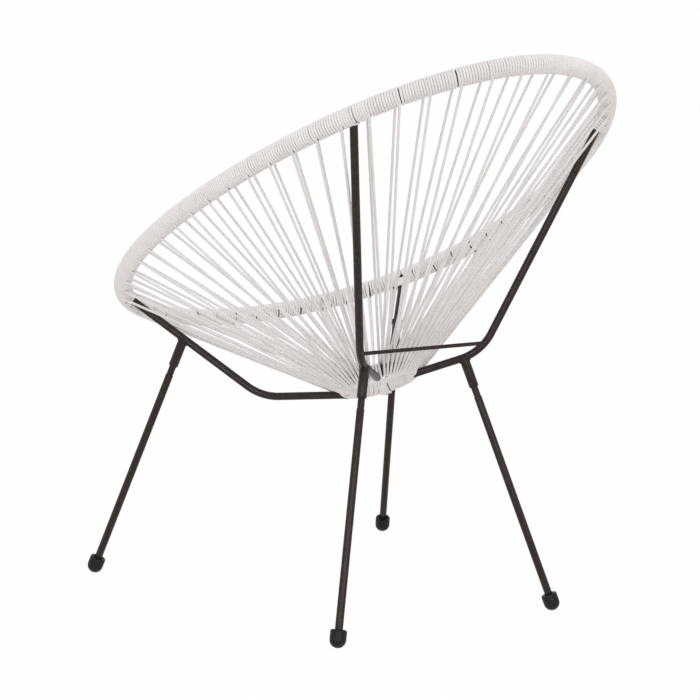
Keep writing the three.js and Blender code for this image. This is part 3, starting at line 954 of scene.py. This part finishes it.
# %% [markdown]
# ## Collars on the rod tops
#
# Under the hoop a few turns of cord also go round the top of each rod, more on the right-hand rods than on
# the left-hand ones. They hide the weld and keep the winding from sliding along the hoop.

# %% Collars
COLLAR_TURNS = {"rear_left": 1, "rear_right": 6, "front_left": 2, "front_right": 5}
COLLAR_START = 9 * MM
COLLAR_PITCH = 3.95 * MM


def collar(rod, turns):
    """Turns round the top of a rod. They start and stop on the side that faces the seat."""
    top, _ = rod_ends(rod)
    into = (rod["corner"] - top).normalized()
    inward, across = facings(into, ring_centre - top)
    points = []
    for step in range(turns * TURN_STEPS + 1):
        turn = step / TURN_STEPS
        spoke = inward * math.cos(turn * FULL_TURN) + across * math.sin(turn * FULL_TURN)
        points.append(top + into * (COLLAR_START + turn * COLLAR_PITCH) + spoke * (ROD_D + CORD_D) / 2)
    return points


for place, rod in rods.items():
    for side, sign in SIDE_SIGN.items():
        name = f"{place}_{side}"
        line = [mirrored(point, sign) for point in collar(rod, COLLAR_TURNS[name])]
        settle(swept(f"{name}_rod_collar", line, TIGHT_CORD_D, CORD_SIDES, cord_finish), "white_cord")

# %% [markdown]
# ## Legs, sockets and feet
#
# These are turned or moulded round one axis, so each is a profile of radius and height that is spun.
# The socket is coped: its top edge runs up until it meets the round of the rod, which a short march
# along each line of the socket finds. The leg has a neck and a groove under the socket, where its end
# was rolled down onto the stud's nut.

# %% Sizes of the turned pieces
TURNED_SIDES = 36
SOCKET_D = 15 * MM
SOCKET_REACH = 48 * MM
SOCKET_BORE_DEPTH = 25 * MM
SOCKET_EDGE = 1.0 * MM
SOCKET_EDGE_MIDDLE = 0.3 * MM
STUD_BORE_D = 8.6 * MM
STUD_BORE_EDGE = 0.4 * MM
LEG_D = 12 * MM
LEG_EDGE = 0.5 * MM
LEG_END_GAP = 0.3 * MM
NECK_D = 10.8 * MM
NECK_LENGTH = 14 * MM
NECK_STEP = 0.3 * MM
GROOVE_D = 10.2 * MM
GROOVE_WIDTH = 2 * MM
GROOVE_FLOOR_SHARE = 0.6
CAP_D = 25 * MM
CAP_LENGTH = 27 * MM
CAP_SEAT_DEPTH = 16 * MM
CAP_SEAT_GAP = 0.3 * MM
CAP_FLAT_DEPTH = 0.5 * MM
DOME_DEGREES = range(8, 90, 9)

# The foot's rolled lip: steps in from its side and down from its rim, then out from the leg and down
LIP_OUTSIDE = ((0, 2.2 * MM), (0.6 * MM, 0.7 * MM), (2.0 * MM, 0))
LIP_INSIDE = ((1.6 * MM, 0), (0.4 * MM, 1.4 * MM))
print("socket, leg and foot:", [round(size / MM) for size in (SOCKET_D, LEG_D, CAP_D)], "mm across")


# %% Turning
def turned(name, rows, place, finish):
    """Spins rows of (radius, height) round the axis. A height may be a function of the angle."""
    mesh = bmesh.new()
    loops = []
    for radius, height in rows:
        if radius == 0:
            loops.append([mesh.verts.new((0, 0, height))])
            continue
        loop = []
        for side in range(TURNED_SIDES):
            angle = FULL_TURN * side / TURNED_SIDES
            level = height(angle) if callable(height) else height
            loop.append(mesh.verts.new((radius * math.cos(angle), radius * math.sin(angle), level)))
        loops.append(loop)
    for low, high in zip(loops, loops[1:]):
        for side in range(TURNED_SIDES):
            after = (side + 1) % TURNED_SIDES
            corners = [
                low[side % len(low)], low[after % len(low)], high[after % len(high)], high[side % len(high)],
            ]
            mesh.faces.new(dict.fromkeys(corners))
    mesh.transform(place)
    data = bpy.data.meshes.new(name)
    bmesh.ops.recalc_face_normals(mesh, faces=mesh.faces)
    mesh.to_mesh(data)
    mesh.free()
    data.materials.append(finish)
    data.set_sharp_from_angle(angle=SHARP_EDGE)
    return new_object(name, data)


# %% Rounded edges
SHORT_SIDE_PARTS = 2.5


def cut_back(corner, neighbour, radius):
    """Where the rounding of a corner starts on one side. On a short side it takes less."""
    length = math.hypot(neighbour[0] - corner[0], neighbour[1] - corner[1])
    share = min(radius, length / SHORT_SIDE_PARTS) / length
    return tuple(a + (b - a) * share for a, b in zip(corner, neighbour))


def rounded(rows, radius):
    """Cuts each corner of a profile back by a small radius, so that edges catch the light."""
    result = [rows[0]]
    for before, corner, after in zip(rows, rows[1:], rows[2:]):
        start = cut_back(corner, before, radius)
        stop = cut_back(corner, after, radius)
        middle = tuple((a + 2 * b + c) / 4 for a, b, c in zip(start, corner, stop))
        result += [start, middle, stop]
    return result + [rows[-1]]


# %% Leg axes
def leg_seat(place, rod):
    """Where a leg's axis meets its rod: on the front rod's upright, and on the rear rod's arm."""
    top, end = rod_ends(rod)
    toward = top if place == "front" else end
    return rod["corner"] + (toward - rod["corner"]).normalized() * rod["socket_from_bend"]


def leg_axis(place, rod, sign):
    """The distance from a foot's middle to its leg's seat on the rod, and the place of that axis."""
    foot = mirrored(rod["foot"], sign) + Vector((0, 0, CAP_D / 2 - CAP_FLAT_DEPTH))
    seat = mirrored(leg_seat(place, rod), sign)
    turn = (seat - foot).to_track_quat("Z", "Y").to_matrix().to_4x4()
    return (seat - foot).length, Matrix.Translation(foot) @ turn


# %% Coping
COPE_START = 20 * MM
MARCH_STEPS = 120
MARCH_SHARE = 0.5
MARCH_NEAR = 0.02 * MM


def distance_to_path(point, line):
    nearest = math.inf
    for a, b in zip(line, line[1:]):
        share = min(max((point - a).dot(b - a) / (b - a).length_squared, 0), 1)
        nearest = min(nearest, (point - a.lerp(b, share)).length)
    return nearest


def on_socket(matrix, angle, height):
    """A point on the socket's wall."""
    return matrix @ Vector((SOCKET_D / 2 * math.cos(angle), SOCKET_D / 2 * math.sin(angle), height))


def cope_height(matrix, angle, line, low):
    """How far up a line on the socket's wall the rod is met, or comes nearest where the line misses it."""
    height = low
    least = math.inf
    for _ in range(MARCH_STEPS):
        gap = distance_to_path(on_socket(matrix, angle, height), line) - ROD_D / 2
        if gap < MARCH_NEAR or gap > least:
            break
        least = gap
        height += MARCH_SHARE * gap
    return height


# %% [markdown]
# ## Weld beads
#
# A weld is a row of small frozen pools, each lapping the one before. The tree puts points along the
# joint's line, about a millimetre and a half apart, and sets a small ball of its own size on each. Under
# powder coat the row reads as a soft, rippled fillet.

# %% The welding tree
WELD_BEAD = 1.7 * MM
WELD_SPACING = 1.5 * MM
WELD_SEED = 3
SMALLEST_POOL = 0.85
LARGEST_POOL = 1.15


def weld_tree():
    tree, given = new_tree("weld_bead", {
        "Bead": "NodeSocketFloat", "Spacing": "NodeSocketFloat", "Seed": "NodeSocketInt",
        "Finish": "NodeSocketMaterial",
    })
    line = add_node(tree, "GeometryNodeMeshToCurve", {"Mesh": given["Path"]})
    dots = add_node(tree, "GeometryNodeCurveToPoints", {
        "Curve": line.outputs["Curve"], "Length": given["Spacing"],
    }, mode="LENGTH")
    ball = add_node(tree, "GeometryNodeMeshIcoSphere", {"Radius": given["Bead"], "Subdivisions": 2})
    size = add_node(tree, "FunctionNodeRandomValue", {
        2: SMALLEST_POOL, 3: LARGEST_POOL, "Seed": given["Seed"],
    }, data_type="FLOAT")
    pools = add_node(tree, "GeometryNodeInstanceOnPoints", {
        "Points": dots.outputs["Points"], "Instance": ball.outputs["Mesh"],
        "Rotation": dots.outputs["Rotation"], "Scale": size.outputs[1],
    })
    return finish_tree(tree, pools.outputs["Instances"], given["Finish"])


WELD = weld_tree()


def welded(name, line, seed):
    """A row of weld pools along a closed line."""
    piece = grown(
        path_object(name, line, closed=True), WELD,
        Bead=WELD_BEAD, Spacing=WELD_SPACING, Seed=seed, Finish=steel_finish,
    )
    piece.data.shade_smooth()
    settle(piece, "steel_frame")


# %% Profiles of sockets, legs and feet
def socket_rows(mouth, top, cope):
    """The socket: a bore with a bevelled mouth, a rounded edge, the wall and the coped top."""
    bore = STUD_BORE_D / 2
    wall = SOCKET_D / 2
    return [
        (bore, mouth + SOCKET_BORE_DEPTH), (bore, mouth + STUD_BORE_EDGE), (bore + STUD_BORE_EDGE, mouth),
        (wall - SOCKET_EDGE, mouth), (wall - SOCKET_EDGE_MIDDLE, mouth + SOCKET_EDGE_MIDDLE),
        (wall, mouth + SOCKET_EDGE), (wall, cope), (bore, top), (bore, mouth + SOCKET_BORE_DEPTH),
    ]


def leg_rows(bottom, top):
    """The leg: a plain tube, and above it the rolled groove and the neck."""
    radius = LEG_D / 2
    groove_top = top - NECK_LENGTH
    rows = [
        (STUD_BORE_D / 2, bottom), (radius, bottom), (radius, groove_top - GROOVE_WIDTH),
        (GROOVE_D / 2, groove_top - GROOVE_WIDTH * GROOVE_FLOOR_SHARE), (GROOVE_D / 2, groove_top),
        (NECK_D / 2, groove_top + NECK_STEP), (NECK_D / 2, top), (STUD_BORE_D / 2, top),
    ]
    return rounded(rows, LEG_EDGE)


def cap_rows(seat_floor, rim):
    """The foot: a dome, a plain side, a rolled lip and the seat for the leg."""
    radius = CAP_D / 2
    leg = LEG_D / 2
    dome_angles = [math.radians(degrees) for degrees in DOME_DEGREES]
    rows = [(0, -radius)]
    rows += [(radius * math.sin(angle), -radius * math.cos(angle)) for angle in dome_angles]
    rows.append((radius, 0))
    rows += [(radius - inward, rim - down) for inward, down in LIP_OUTSIDE]
    rows += [(leg + outward, rim - down) for outward, down in LIP_INSIDE]
    return rows + [(leg + CAP_SEAT_GAP, seat_floor), (0, seat_floor)]


# %% Sockets, legs and feet
SEAM_STEPS = 48
seam_angles = [FULL_TURN * step / SEAM_STEPS for step in range(SEAM_STEPS)]
cap_rim = CAP_LENGTH - CAP_D / 2
seat_floor = cap_rim - CAP_SEAT_DEPTH
for place, rod in rods.items():
    for side, sign in SIDE_SIGN.items():
        name = f"{place}_{side}"
        length, matrix = leg_axis(place, rod, sign)
        line = [mirrored(point, sign) for point in rod_path(rod)]
        mouth = length - SOCKET_REACH

        def cope(angle):
            return cope_height(matrix, angle, line, mouth + COPE_START)

        socket = turned(f"{name}_socket_tube", socket_rows(mouth, length, cope), matrix, steel_finish)
        settle(socket, "steel_frame", f"{name}_leg_socket")
        seam = [on_socket(matrix, angle, cope(angle)) for angle in seam_angles]
        welded(f"{name}_socket_weld", seam, WELD_SEED + len(name))

        profile = leg_rows(seat_floor + LEG_END_GAP, mouth - LEG_END_GAP)
        leg = turned(f"{name}_leg_tube", profile, matrix, steel_finish)
        settle(leg, "steel_frame", f"{name}_leg")
        cap = turned(f"{name}_rubber_foot", cap_rows(seat_floor, cap_rim), matrix, rubber_finish)
        # The dome's underside is flat where the foot stands on the floor
        for vertex in cap.data.vertices:
            vertex.co.z = max(vertex.co.z, 0.0)
        settle(cap, "foot_rubber", f"{name}_foot_cap")
